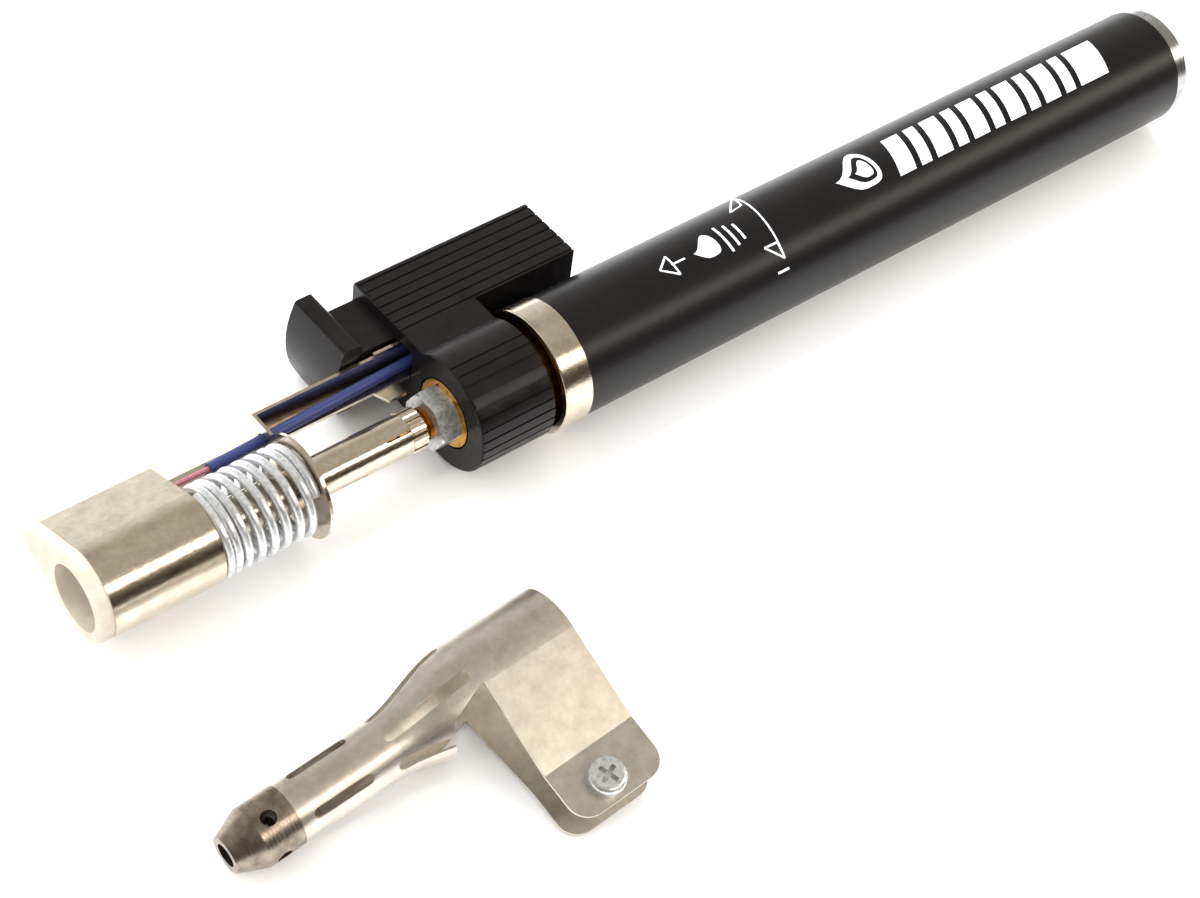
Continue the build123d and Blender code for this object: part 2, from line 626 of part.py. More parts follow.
def piezo_unit():
    body = slab(PIEZO_FRONT, CAVITY_REAR, -PIEZO_WIDTH / 2, PIEZO_WIDTH / 2, -PIEZO_HALF, PIEZO_HALF)
    body = fillet(body.edges().filter_by(Axis.X), 0.8)
    body -= rod(PIEZO_FRONT - 1, PIEZO_FRONT + PLUNGER_BORE_LENGTH, PLUNGER_R + RUN_GAP)
    body -= rod(PIEZO_FRONT, CAVITY_REAR - 1.0, CRYSTAL_R)
    return on_piezo_axis(body)


def piezo_crystal():
    return on_piezo_axis(rod(CAVITY_REAR - 1.0 - CRYSTAL_LENGTH, CAVITY_REAR - 1.0, CRYSTAL_R))


# ---------------------------------------------------------------- clamp-on soldering tip
# Own frame: X along the burner axis towards the handle, -Y towards the clamp flanges.
def band_outline(radius, half, reach):
    # A round back, two straps that draw together, and a pair of flat flanges.
    crease = Line((-BAND_FLAT, -half), (-BAND_FLAT, half))
    strap = make_hull(Circle(radius).edges() + crease.edges())
    return strap + Pos(-BAND_FLAT - reach / 2, 0) * Rectangle(reach, 2 * half)


def clamp_band():
    half = BAND_WIDTH / 2
    body = along_x(band_outline(BAND_R, FLANGE_HALF, FLANGE_LENGTH), -half, half)
    corners = body.edges().filter_by(Axis.Z).filter_by(
        lambda e: e.center().Y < -BAND_FLAT - FLANGE_LENGTH + 0.1)
    body = fillet(corners, FLANGE_CORNER)
    inside = band_outline(BAND_R - TIP_SHEET, FLANGE_HALF - TIP_SHEET, FLANGE_LENGTH + 2)
    body -= along_x(inside, -half - 1, half + 1)
    return body - Pos(SCREW_OFFSET_X, -SCREW_OFFSET_P, 0) * Cylinder(SCREW_R + RUN_GAP, 4 * FLANGE_HALF)


def neck_profile(shift):
    # The neck's wall in the X-radius plane: a soft S from the band down to the sleeve.
    wide = BAND_R - shift
    slim = SLEEVE_R - shift
    return Spline((-BAND_WIDTH / 2, wide), ((NECK_END - BAND_WIDTH / 2) / 2, (wide + slim) / 2),
                  (NECK_END, slim), tangents=((-1, 0), (-1, 0)))


def long_slot(length, width, middle, turn):
    # A round-ended slot cut outwards from the axis, turned about X from the top line.
    return Rot(turn, 0, 0) * Pos(middle, 0, 0) * extrude(SlotOverall(length, width), 2 * BAND_R)


def neck_and_sleeve():
    outer = neck_profile(0)
    inner = neck_profile(TIP_SHEET)
    bore = SLEEVE_R - TIP_SHEET
    wall = make_face(Wire([
        outer,
        Line(outer @ 1, (SLEEVE_END, SLEEVE_R)),
        Line((SLEEVE_END, SLEEVE_R), (SLEEVE_END, bore)),
        Line((SLEEVE_END, bore), inner @ 1),
        inner,
        Line(inner @ 0, outer @ 0)]))
    body = revolve(wall, Axis.X, 360)
    inside_band = -BAND_WIDTH / 2 + 1
    below = -BAND_R - 1
    notch = make_face(Polyline(
        (inside_band, -NOTCH_OUT), (-BAND_WIDTH / 2 - NECK_LAND, -NOTCH_OUT),
        (NOTCH_EDGE_X, -NOTCH_EDGE_OUT), (NOTCH_END_X, below), (inside_band, below), close=True))
    body -= extrude(Plane.XY * notch, 2 * BAND_R, both=True)
    for k in range(NECK_SLOTS):
        body -= long_slot(NECK_SLOT_LENGTH, NECK_SLOT_WIDTH, NECK_SLOT_MIDDLE,
                          NECK_SLOT_TURN + k * 360 / NECK_SLOTS)
    for k in range(SLEEVE_SLOTS):
        body -= long_slot(SLEEVE_SLOT_LENGTH, SLEEVE_SLOT_WIDTH, SLEEVE_SLOT_MIDDLE,
                          SLEEVE_SLOT_TURN + k * 360 / SLEEVE_SLOTS)
    return body


def rest_angles():
    # The tip lies on its flange edge, its band and its nozzle.
    roll = math.degrees(math.asin((BAND_R - FLANGE_HALF) / (BAND_FLAT + FLANGE_LENGTH)))
    reach = -SLEEVE_END + NOZZLE_CYLINDER - BAND_WIDTH / 2
    pitch = math.degrees(math.asin((BAND_R - SLEEVE_R) / reach))
    return roll, pitch


def tip_sleeve():
    return clamp_band() + neck_and_sleeve()


def tip_nozzle():
    cone_rear = SLEEVE_END - NOZZLE_CYLINDER
    body = rod(cone_rear, SLEEVE_END, SLEEVE_R)
    body += rod(SLEEVE_END, SLEEVE_END + NOZZLE_SPIGOT, SLEEVE_R - TIP_SHEET)
    cone = Rot(0, -90, 0) * Cone(SLEEVE_R, NOZZLE_FACE_R, NOZZLE_CONE)
    cone = Pos(cone_rear - NOZZLE_CONE / 2, 0, 0) * cone
    body += cone
    body -= rod(cone_rear - NOZZLE_CONE - 1, SLEEVE_END + NOZZLE_SPIGOT + 1, NOZZLE_BORE)
    for k in range(2):
        hole = Pos(SLEEVE_END - CROSS_HOLE_SETBACK, 0, 0) * Rot(k * 90, 0, 0) * Cylinder(CROSS_HOLE_R, 12)
        body -= hole
    return body


def clamp_screw():
    top = FLANGE_HALF
    length = top + FLANGE_HALF + SCREW_TAIL
    shank = Pos(0, 0, top - length / 2) * Cylinder(SCREW_R, length)
    head = Pos(0, 0, top + SCREW_HEAD_HEIGHT / 2) * Cylinder(SCREW_HEAD_R, SCREW_HEAD_HEIGHT)
    head = fillet(head.edges().group_by(Axis.Z)[-1], SCREW_HEAD_EDGE)
    arms = Box(CROSS_ARM, CROSS_WIDTH, 2 * CROSS_DEPTH) + Box(CROSS_WIDTH, CROSS_ARM, 2 * CROSS_DEPTH)
    cross = Pos(0, 0, top + SCREW_HEAD_HEIGHT) * Rot(0, 0, CROSS_TURN) * arms
    return Pos(SCREW_OFFSET_X, -SCREW_OFFSET_P, 0) * (shank + head - cross)


def laid_beside(shape, drop):
    # Turns the tip to the way it lies, and sets it down beside the torch.
    roll, pitch = rest_angles()
    return Pos(TIP_X, TIP_Y, drop) * Rot(0, 0, TIP_YAW) * Rot(0, -pitch, 0) * Rot(roll, 0, 0) * shape


# ---------------------------------------------------------------- assembly
def build():
    nodes = {
        "gas_tube": gas_tube(),
        "end_cap": end_cap(),
        "rear_o_ring": large_seal(CAP_SEAL_X),
        "filler_valve_body": filler_valve_body(),
        "filler_seal": filler_seal(),
        "filler_stem": filler_stem(),
        "filler_spring": filler_spring(),
        "gas_wick": gas_wick(),
        "front_collar": front_collar(),
        "valve_seat": valve_seat(),
        "front_o_ring": large_seal(SEAT_SEAL_X),
    }
    head = {
        "igniter_housing": igniter_housing(),
        "valve_body": valve_body(),
        "valve_o_ring": ring_x(STEM_SEAL_X, STEM_R - STEM_SEAL_SECTION, STEM_SEAL_SECTION),
        "valve_needle": valve_needle(),
        "brass_washer": brass_washer(),
        "hex_nut": hex_nut(),
        "knurled_ferrule": knurled_ferrule(),
        "gas_jet": gas_jet(),
        "burner_tube": burner_tube(),
        "flame_screen": flame_screen(),
        "wire_bracket": wire_bracket(),
        "ignition_lead": ignition_lead(),
        "electrode_wire": electrode_wire(),
        "piezo_unit": piezo_unit(),
        "piezo_crystal": piezo_crystal(),
        "button_spring": button_spring(),
        "igniter_button": igniter_button(),
        "piezo_plunger": piezo_plunger(),
        "coil_spring": coil_spring(),
        "head_shroud": head_shroud(),
        "ceramic_nozzle": ceramic_nozzle(),
    }
    for name, shape in head.items():
        nodes[name] = tilted(shape)
    tip = {
        "tip_sleeve": tip_sleeve(),
        "tip_nozzle": tip_nozzle(),
        "clamp_screw": clamp_screw(),
    }
    lowest = min(laid_beside(shape, 0).bounding_box().min.Z for shape in tip.values())
    for name, shape in tip.items():
        nodes[name] = laid_beside(shape, -TUBE_R - lowest)
    return nodes


os.makedirs("parts", exist_ok=True)
for node_name, node_shape in build().items():
    export_step(node_shape, f"parts/{node_name}.step")
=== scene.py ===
import bmesh
import bpy
import math
from mathutils import Matrix, Vector


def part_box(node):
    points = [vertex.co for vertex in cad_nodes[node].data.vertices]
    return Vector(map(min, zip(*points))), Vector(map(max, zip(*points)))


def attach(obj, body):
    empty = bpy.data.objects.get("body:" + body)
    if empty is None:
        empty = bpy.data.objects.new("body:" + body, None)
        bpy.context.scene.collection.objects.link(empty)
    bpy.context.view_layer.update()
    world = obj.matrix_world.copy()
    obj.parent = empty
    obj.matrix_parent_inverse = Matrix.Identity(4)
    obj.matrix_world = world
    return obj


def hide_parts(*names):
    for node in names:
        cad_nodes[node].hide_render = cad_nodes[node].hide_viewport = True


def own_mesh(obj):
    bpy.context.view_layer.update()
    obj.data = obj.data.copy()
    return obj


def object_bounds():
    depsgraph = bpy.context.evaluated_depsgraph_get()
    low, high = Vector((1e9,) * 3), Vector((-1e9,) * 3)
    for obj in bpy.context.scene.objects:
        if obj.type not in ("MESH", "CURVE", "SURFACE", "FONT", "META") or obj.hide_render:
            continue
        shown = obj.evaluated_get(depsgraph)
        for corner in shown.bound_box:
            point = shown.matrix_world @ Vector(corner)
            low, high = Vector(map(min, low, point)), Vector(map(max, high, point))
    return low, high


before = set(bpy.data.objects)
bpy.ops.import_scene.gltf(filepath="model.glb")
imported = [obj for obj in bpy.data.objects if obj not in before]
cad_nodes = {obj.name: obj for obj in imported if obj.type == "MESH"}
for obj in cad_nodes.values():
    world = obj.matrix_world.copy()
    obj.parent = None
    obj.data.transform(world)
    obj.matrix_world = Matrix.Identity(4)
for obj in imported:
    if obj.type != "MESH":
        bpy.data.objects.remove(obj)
cad_low, cad_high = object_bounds()

# ---------------------------------------------------------------- the table and its light
# A sheet of matt white card under the torch, wide softboxes behind it and before it, and a
# narrow warm strip on the near right side that draws a long streak down the round pieces.
card_gap = 0.00002
stage_floor_z = cad_low.z - card_gap
eye_place = Vector((-0.184252, -0.160998, 0.291925))
sight = Vector((0.4846, 0.3881, -0.7839)).normalized()
camera_lean = math.radians(16.518)
level = sight.cross(Vector((0, 0, 1))).normalized()
above = level.cross(sight)
across = level * math.cos(camera_lean) + above * math.sin(camera_lean)
upward = above * math.cos(camera_lean) - level * math.sin(camera_lean)
camera_data = bpy.data.cameras.new("bench_camera")
camera_data.sensor_width = 36.0
camera_data.lens = 78.93
camera_data.clip_start = 0.01
camera_data.clip_end = 20.0
camera = bpy.data.objects.new("bench_camera", camera_data)
camera_turn = Matrix((across, upward, -sight)).transposed().to_4x4()
camera.matrix_world = Matrix.Translation(eye_place) @ camera_turn
bpy.context.scene.collection.objects.link(camera)
bpy.context.scene.camera = camera
bpy.context.scene.view_settings.view_transform = "Standard"


def linear(hex_colour):
    # An sRGB hex colour as linear RGBA.
    parts = [int(hex_colour[k:k + 2], 16) / 255 for k in (1, 3, 5)]
    return tuple(c / 12.92 if c <= 0.04045 else ((c + 0.055) / 1.055) ** 2.4 for c in parts) + (1.0,)


def add(tree, kind, inputs=None, **settings):
    # Adds one node with its settings; an input is a value or another node's output.
    made = tree.nodes.new(kind)
    for key, value in settings.items():
        setattr(made, key, value)
    for socket, value in (inputs or {}).items():
        if isinstance(value, bpy.types.NodeSocket):
            tree.links.new(value, made.inputs[socket])
        else:
            made.inputs[socket].default_value = value
    return made


def new_surface(name, colour, metallic, roughness):
    # A material with its shader's plain values; returns it with its tree and its shader.
    made = bpy.data.materials.new(name)
    made.use_nodes = True
    shader = made.node_tree.nodes["Principled BSDF"]
    shader.inputs["Base Color"].default_value = linear(colour)
    shader.inputs["Metallic"].default_value = metallic
    shader.inputs["Roughness"].default_value = roughness
    return made, made.node_tree, shader


def per_mm(size):
    # Texture scale, on coordinates in metres, of a feature this many millimetres wide.
    return 1000.0 / size


def into(tree, source, shader, socket):
    tree.links.new(source, shader.inputs[socket])


# white card: matt paper, with a very faint fibre mottle
card_white, tree, shader = new_surface("matt_white_card", "#f4f4f4", 0.0, 0.85)
place = add(tree, "ShaderNodeTexCoord").outputs["Object"]
fibre = add(tree, "ShaderNodeTexNoise", {"Vector": place, "Scale": per_mm(1.5), "Detail": 3.0})
shade = add(tree, "ShaderNodeValToRGB", {"Fac": fibre.outputs["Fac"]})
shade.color_ramp.elements[0].color = linear("#f2f2f2")
shade.color_ramp.elements[1].color = linear("#f7f7f7")
into(tree, shade.outputs["Color"], shader, "Base Color")
floor_half = 2.5
floor_mesh = bpy.data.meshes.new("white_card")
floor_mesh.from_pydata([(-floor_half, -floor_half, stage_floor_z), (floor_half, -floor_half, stage_floor_z),
                        (floor_half, floor_half, stage_floor_z), (-floor_half, floor_half, stage_floor_z)],
                       [], [(0, 1, 2, 3)])
floor_mesh.materials.append(card_white)
white_card = bpy.data.objects.new("white_card", floor_mesh)
bpy.context.scene.collection.objects.link(white_card)

torch_middle = Vector((0.03, 0.0, 0.0))


def softbox(name, direction, distance, long_side, short_side, watts, colour, long_axis, mirrored):
    # A rectangular light that faces the torch, with its long side along long_axis.
    # Only a mirrored one shows as a patch in polished metal.
    away = Vector(direction).normalized()
    lengthwise = (Vector(long_axis) - away * away.dot(Vector(long_axis))).normalized()
    crosswise = away.cross(lengthwise)
    data = bpy.data.lights.new(name, "AREA")
    data.shape = "RECTANGLE"
    data.size = long_side
    data.size_y = short_side
    data.energy = watts
    data.color = linear(colour)[:3]
    lamp = bpy.data.objects.new(name, data)
    turn = Matrix((lengthwise, crosswise, away)).transposed().to_4x4()
    lamp.matrix_world = Matrix.Translation(torch_middle + away * distance) @ turn
    lamp.visible_glossy = mirrored
    bpy.context.scene.collection.objects.link(lamp)


softbox("back_softbox", (0.05, 0.62, 0.80), 0.80, 0.95, 0.55, 9.0, "#ffffff", (1, 0, 0), False)
softbox("front_softbox", (-0.85, 0.10, 0.75), 0.80, 0.60, 0.45, 2.4, "#ffffff", (0, 1, 0), False)
softbox("side_strip", (0.48, -0.60, 0.64), 0.60, 0.95, 0.15, 2.2, "#fff6ea", (1, 0, 0), True)

# The room round the card, as polished metal mirrors it: a pale wall on the far side, a dim
# warm one on the near side, and a beige ceiling over both. Matt things see even white.
room = bpy.data.worlds.new("studio_room")
bpy.context.scene.world = room
room.use_nodes = True
tree = room.node_tree
ray = add(tree, "ShaderNodeTexCoord").outputs["Generated"]
sides = add(tree, "ShaderNodeSeparateXYZ", {"Vector": ray})
near_tones = ("#463828", "#382c20", "#8f867b", "#cbc5bc")
far_tones = ("#fbfaf8", "#eeebe5", "#bfb8ad", "#cbc5bc")
wall_middle, wall_top, ceiling = 0.30, 0.66, 0.95
near_ends, far_begins = -0.25, 0.30
walls = []
for tones in (near_tones, far_tones):
    wall = add(tree, "ShaderNodeValToRGB", {"Fac": sides.outputs["Z"]})
    wall.color_ramp.elements[0].color = linear(tones[0])
    wall.color_ramp.elements[1].position = ceiling
    wall.color_ramp.elements[1].color = linear(tones[3])
    wall.color_ramp.elements.new(wall_middle).color = linear(tones[1])
    wall.color_ramp.elements.new(wall_top).color = linear(tones[2])
    walls.append(wall.outputs["Color"])
far_share = add(tree, "ShaderNodeMapRange", {"Value": sides.outputs["Y"], "From Min": near_ends,
                                             "From Max": far_begins})
both_walls = add(tree, "ShaderNodeMix", {0: far_share.outputs["Result"]}, data_type="RGBA")
tree.links.new(walls[0], both_walls.inputs[6])
tree.links.new(walls[1], both_walls.inputs[7])
mirrored_ray = add(tree, "ShaderNodeLightPath").outputs["Is Glossy Ray"]
shown = add(tree, "ShaderNodeMix", {0: mirrored_ray}, data_type="RGBA")
shown.inputs[6].default_value = (1.0, 1.0, 1.0, 1.0)
tree.links.new(both_walls.outputs[2], shown.inputs[7])
tree.links.new(shown.outputs[2], tree.nodes["Background"].inputs["Color"])
tree.nodes["Background"].inputs["Strength"].default_value = 0.95


def dress(finish, *names):
    # Gives one finish to CAD pieces that keep their shape.
    for name in names:
        mesh = cad_nodes[name].data
        mesh.materials.clear()
        mesh.materials.append(finish)


def make_piece(name, mesh, finish, body, slot_name, *stands_for):
    # A finished mesh as a piece that rides on a body and may stand for CAD nodes.
    if finish is not None:
        mesh.materials.clear()
        mesh.materials.append(finish)
    piece = bpy.data.objects.new(name, mesh)
    bpy.context.scene.collection.objects.link(piece)
    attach(piece, body)
    if stands_for:
        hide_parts(*stands_for)
    return piece


# ---------------------------------------------------------------- gas tube
# The handle and fuel tank: a drawn aluminium tube, satin blasted and anodised black. The
# end cap and the valve seat close its two ends.
tube_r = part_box("gas_tube")[1].z

# black anodised aluminium: a dyed oxide skin, so a soft-edged sheen over a dark ground,
# with the blasting's fine grain and the faint rings of the brushing before it
black_anodise, tree, shader = new_surface("black_anodised_aluminium", "#0d0c0d", 0.0, 0.32)
shader.inputs["Specular IOR Level"].default_value = 0.26
place = add(tree, "ShaderNodeTexCoord").outputs["Object"]
grain = add(tree, "ShaderNodeTexNoise", {"Vector": place, "Scale": per_mm(0.28), "Detail": 3.0,
                                         "Roughness": 0.65})
brushed = add(tree, "ShaderNodeMapping", {"Vector": place, "Scale": (1.0, 0.08, 0.08)})
lines = add(tree, "ShaderNodeTexNoise", {"Vector": brushed.outputs["Vector"], "Scale": per_mm(0.22),
                                         "Detail": 3.0})
cloud = add(tree, "ShaderNodeTexNoise", {"Vector": place, "Scale": per_mm(9.0), "Detail": 2.0})
dye = add(tree, "ShaderNodeValToRGB", {"Fac": cloud.outputs["Fac"]})
dye.color_ramp.elements[0].color = linear("#0b0a0b")
dye.color_ramp.elements[1].color = linear("#131112")
into(tree, dye.outputs["Color"], shader, "Base Color")
sheen = add(tree, "ShaderNodeMapRange", {"Value": grain.outputs["Fac"], "From Min": 0.25,
                                         "From Max": 0.75, "To Min": 0.26, "To Max": 0.38})
into(tree, sheen.outputs["Result"], shader, "Roughness")
relief = add(tree, "ShaderNodeMath", {0: grain.outputs["Fac"], 1: lines.outputs["Fac"]}, operation="ADD")
bumps = add(tree, "ShaderNodeBump", {"Height": relief.outputs["Value"], "Strength": 0.35,
                                     "Distance": 0.000015})
into(tree, bumps.outputs["Normal"], shader, "Normal")
dress(black_anodise, "gas_tube")

# The print: white pad-printed ink, a turning arrow with its two ends marked 1 and 0, a
# pointer to the valve, a plain flame and a row of slanted bars down the barrel.
ink_white, tree, shader = new_surface("white_pad_print_ink", "#eef3f5", 0.0, 0.45)
place = add(tree, "ShaderNodeTexCoord").outputs["Object"]
fleck = add(tree, "ShaderNodeTexNoise", {"Vector": place, "Scale": per_mm(0.4), "Detail": 3.0})
cover = add(tree, "ShaderNodeValToRGB", {"Fac": fleck.outputs["Fac"]})
cover.color_ramp.elements[0].color = linear("#dfe5e8")
cover.color_ramp.elements[0].position = 0.25
cover.color_ramp.elements[1].color = linear("#f2f6f8")
cover.color_ramp.elements[1].position = 0.6
into(tree, cover.outputs["Color"], shader, "Base Color")
ink_thickness = 0.000015
line_mm = 0.30


def on_barrel(x_mm, s_mm, lift):
    # A place on the barrel: x along it, s round it from the top line away from the block.
    angle = math.radians(90.0) + s_mm / 1000 / tube_r
    radius = tube_r + lift
    return (x_mm / 1000, radius * math.cos(angle), radius * math.sin(angle))


def filled_outline(points, step=0.6):
    # Cuts a flat outline into strips along x, so that it can follow the barrel's curve.
    flat = bmesh.new()
    corners = [flat.verts.new((x, s, 0)) for x, s in points]
    flat.faces.new(corners)
    low = min(s for _, s in points)
    high = max(s for _, s in points)
    cut = low + step
    while cut < high:
        bmesh.ops.bisect_plane(flat, geom=flat.verts[:] + flat.edges[:] + flat.faces[:],
                               plane_co=(0, cut, 0), plane_no=(0, 1, 0))
        cut += step
    bmesh.ops.triangulate(flat, faces=flat.faces[:])
    found = {v: k for k, v in enumerate(flat.verts)}
    places = [(v.co.x, v.co.y) for v in flat.verts]
    faces = [[found[v] for v in f.verts] for f in flat.faces]
    flat.free()
    return places, faces


def stroke(points, width):
    # The outline of a line of even width through these points.
    left, right = [], []
    for k, (x, s) in enumerate(points):
        before = points[max(k - 1, 0)]
        after = points[min(k + 1, len(points) - 1)]
        dx, ds = after[0] - before[0], after[1] - before[1]
        size = math.hypot(dx, ds)
        left.append((x - ds / size * width / 2, s + dx / size * width / 2))
        right.append((x + ds / size * width / 2, s - dx / size * width / 2))
    return left + right[::-1]


def print_marks(name, outlines):
    # One thin raised skin of ink for a group of outlines.
    verts, faces = [], []
    for outline in outlines:
        places, inner = filled_outline(outline)
        start = len(verts)
        verts += [on_barrel(x, s, ink_thickness) for x, s in places]
        for face in inner:
            a, b, c = (Vector(verts[start + k]) for k in face)
            outward = (b - a).cross(c - a).dot(Vector((0, a.y, a.z))) > 0
            faces.append([start + k for k in (face if outward else face[::-1])])
    mesh = bpy.data.meshes.new(name)
    mesh.from_pydata(verts, [], faces)
    skin = bpy.data.objects.new(name, mesh)
    bpy.context.scene.collection.objects.link(skin)
    thick = skin.modifiers.new("ink", "SOLIDIFY")
    thick.thickness = ink_thickness * 0.9
    thick.offset = -1.0
    solid = bpy.data.meshes.new_from_object(skin.evaluated_get(bpy.context.evaluated_depsgraph_get()))
    bpy.data.objects.remove(skin)
    make_piece(name, solid, ink_white, "handle", "black_anodised")


def arc_points(x_ends, s_ends, sag, count=17):
    # A shallow arc between two places on the barrel, bowed by sag towards the burner.
    found = []
    for k in range(count):
        t = k / (count - 1)
        bow = 4 * t * (1 - t) * sag
        found.append((x_ends[0] + (x_ends[1] - x_ends[0]) * t - bow,
                      s_ends[0] + (s_ends[1] - s_ends[0]) * t))
    return found


turn_arc = arc_points((39.69, 38.15), (-8.72, 6.89), 0.45)
low_head = [(38.15, 6.89), (35.48, 4.22), (37.99, 4.26)]
high_head = [(39.69, -8.72), (35.45, -4.03), (38.04, -4.50)]
pointer = [(18.16, 0.18), (20.60, -1.64), (20.59, 2.13)]


def closed_lines(corners):
    return [stroke([corners[k - 1], corners[k]], line_mm) for k in range(len(corners))]


marks = [stroke(turn_arc, line_mm), stroke([(20.4, 0.15), (22.9, 0.15)], line_mm)]
for outline in (low_head, high_head, pointer):
    marks += closed_lines(outline)
marks.append(stroke([(36.2, 8.6), (38.4, 8.6)], line_mm * 1.3))
zero_x, zero_s, zero_half_x, zero_half_s = 37.6, -11.2, 1.1, 0.85
ring_points = [(zero_x + zero_half_x * math.cos(math.radians(a)),
                zero_s + zero_half_s * math.sin(math.radians(a))) for a in range(0, 361, 20)]
marks += [stroke(ring_points[k:k + 2], line_mm * 1.2) for k in range(len(ring_points) - 1)]
print_marks("print_turning_arrow", marks)


def flame_outline(x0, s0, length, width, steps=14):
    # A pointed flame that leans a little, with its tip towards the burner.
    upper, lower = [], []
    for k in range(1, steps):
        a = 1 - (1 - k / steps) ** 2
        half = 1.45 * a ** 1.3 * math.sqrt(1 - a) * width
        middle = s0 + 0.09 * math.sin(2 * math.pi * a) * width
        upper.append((x0 + length * a, middle + half))
        lower.append((x0 + length * a, middle - half))
    return [(x0, s0)] + upper + [(x0 + length, s0)] + lower[::-1]


def ring_between(outer, inner):
    # The band between two outlines with the same number of corners.
    return [[outer[k - 1], outer[k], inner[k], inner[k - 1]] for k in range(len(outer))]


def slanted_bar(x0, width, low, high, slant):
    return [(x0 + slant, low), (x0 + width + slant, low), (x0 + width, high), (x0, high)]


small_marks = [flame_outline(24.6, 0.2, 4.6, 4.2)]
for k in range(3):
    rung_x, rung_half = 30.6 + 1.5 * k, 2.6 - 0.5 * k
    small_marks.append(stroke([(rung_x, -rung_half), (rung_x, rung_half)], line_mm * 1.4))
print_marks("print_flame_small", small_marks)
barrel_marks = ring_between(flame_outline(53.2, 0.1, 8.4, 7.2), flame_outline(55.6, 0.1, 5.3, 5.2))
barrel_marks.append(flame_outline(57.2, 0.1, 3.2, 3.4))
bar_x = 64.0
bar_gap = 1.25
bar_low, bar_high, bar_slant = -3.5, 3.7, 1.9
for bar_width in (3.4, 2.2) * 5 + (6.4,):
    barrel_marks.append(slanted_bar(bar_x, bar_width, bar_low, bar_high, bar_slant))
    bar_x += bar_width + bar_gap
print_marks("print_barrel_bars", barrel_marks)

# ---------------------------------------------------------------- end cap and gas filler
# A turned aluminium plug closes the tube. The brass filler valve sits in its recess.
# turned aluminium: bright and slightly cool, with lathe rings on faces and sides alike


def turned_metal(name, colour, roughness, pitch_mm, depth_mm, dark_tone, place_of=None):
    # Metal finished on a lathe: rings that follow both the radius and the length.
    made, tree, shader = new_surface(name, colour, 1.0, roughness)
    place = add(tree, "ShaderNodeTexCoord").outputs["Object"]
    if place_of is not None:
        place = add(tree, "ShaderNodeMapping", {"Vector": place, **place_of}, vector_type="TEXTURE")
        place = place.outputs["Vector"]
    parts = add(tree, "ShaderNodeSeparateXYZ", {"Vector": place})
    flat = add(tree, "ShaderNodeCombineXYZ", {"Y": parts.outputs["Y"], "Z": parts.outputs["Z"]})
    radius = add(tree, "ShaderNodeVectorMath", {0: flat.outputs["Vector"]}, operation="LENGTH")
    travel = add(tree, "ShaderNodeMath", {0: parts.outputs["X"], 1: radius.outputs["Value"]},
                 operation="ADD")
    rings = add(tree, "ShaderNodeTexNoise", {"W": travel.outputs["Value"], "Scale": per_mm(pitch_mm),
                                             "Detail": 2.0, "Roughness": 0.6}, noise_dimensions="1D")
    stain = add(tree, "ShaderNodeTexNoise", {"Vector": place, "Scale": per_mm(1.6), "Detail": 4.0})
    tone = add(tree, "ShaderNodeValToRGB", {"Fac": stain.outputs["Fac"]})
    tone.color_ramp.elements[0].position = 0.30
    tone.color_ramp.elements[0].color = linear(dark_tone)
    tone.color_ramp.elements[1].position = 0.62
    tone.color_ramp.elements[1].color = linear(colour)
    into(tree, tone.outputs["Color"], shader, "Base Color")
    gloss = add(tree, "ShaderNodeMapRange", {"Value": rings.outputs["Fac"], "From Min": 0.3, "From Max": 0.7,
                                             "To Min": roughness * 0.75, "To Max": roughness * 1.35})
    into(tree, gloss.outputs["Result"], shader, "Roughness")
    bumps = add(tree, "ShaderNodeBump", {"Height": rings.outputs["Fac"], "Strength": 0.5,
                                         "Distance": depth_mm / 1000})
    into(tree, bumps.outputs["Normal"], shader, "Normal")
    return made


bright_aluminium = turned_metal("turned_aluminium", "#bdbfc1", 0.22, 0.22, 0.02, "#9c9ea1")
turned_brass = turned_metal("turned_brass", "#e8b65e", 0.22, 0.16, 0.015, "#c8893a")
dress(bright_aluminium, "end_cap")
dress(turned_brass, "filler_valve_body", "filler_stem")

# nitrile rubber: matt black, faintly mottled, for every gas seal
seal_rubber, tree, shader = new_surface("nitrile_rubber", "#17171a", 0.0, 0.62)
place = add(tree, "ShaderNodeTexCoord").outputs["Object"]
mottle = add(tree, "ShaderNodeTexNoise", {"Vector": place, "Scale": per_mm(0.3), "Detail": 3.0})
bumps = add(tree, "ShaderNodeBump", {"Height": mottle.outputs["Fac"], "Strength": 0.3, "Distance": 0.00001})
into(tree, bumps.outputs["Normal"], shader, "Normal")
dress(seal_rubber, "rear_o_ring", "front_o_ring", "filler_seal", "valve_o_ring")

# cotton wick felt: off-white and fibrous along its length
wick_felt, tree, shader = new_surface("cotton_wick_felt", "#d9d0bd", 0.0, 0.95)
shader.inputs["Sheen Weight"].default_value = 0.4
place = add(tree, "ShaderNodeTexCoord").outputs["Object"]
drawn = add(tree, "ShaderNodeMapping", {"Vector": place, "Scale": (0.08, 1.0, 1.0)})
fibres = add(tree, "ShaderNodeTexNoise", {"Vector": drawn.outputs["Vector"], "Scale": per_mm(0.12),
                                          "Detail": 4.0})
bumps = add(tree, "ShaderNodeBump", {"Height": fibres.outputs["Fac"], "Strength": 0.7, "Distance": 0.00008})
into(tree, bumps.outputs["Normal"], shader, "Normal")
dress(wick_felt, "gas_wick")

# ---------------------------------------------------------------- front collar and valve seat
# A nickel-plated steel ring trims the tube's front. The brass valve seat shows inside it.
# nickel plate: a warm pale mirror, softened by the fine orange peel of the plated sheet


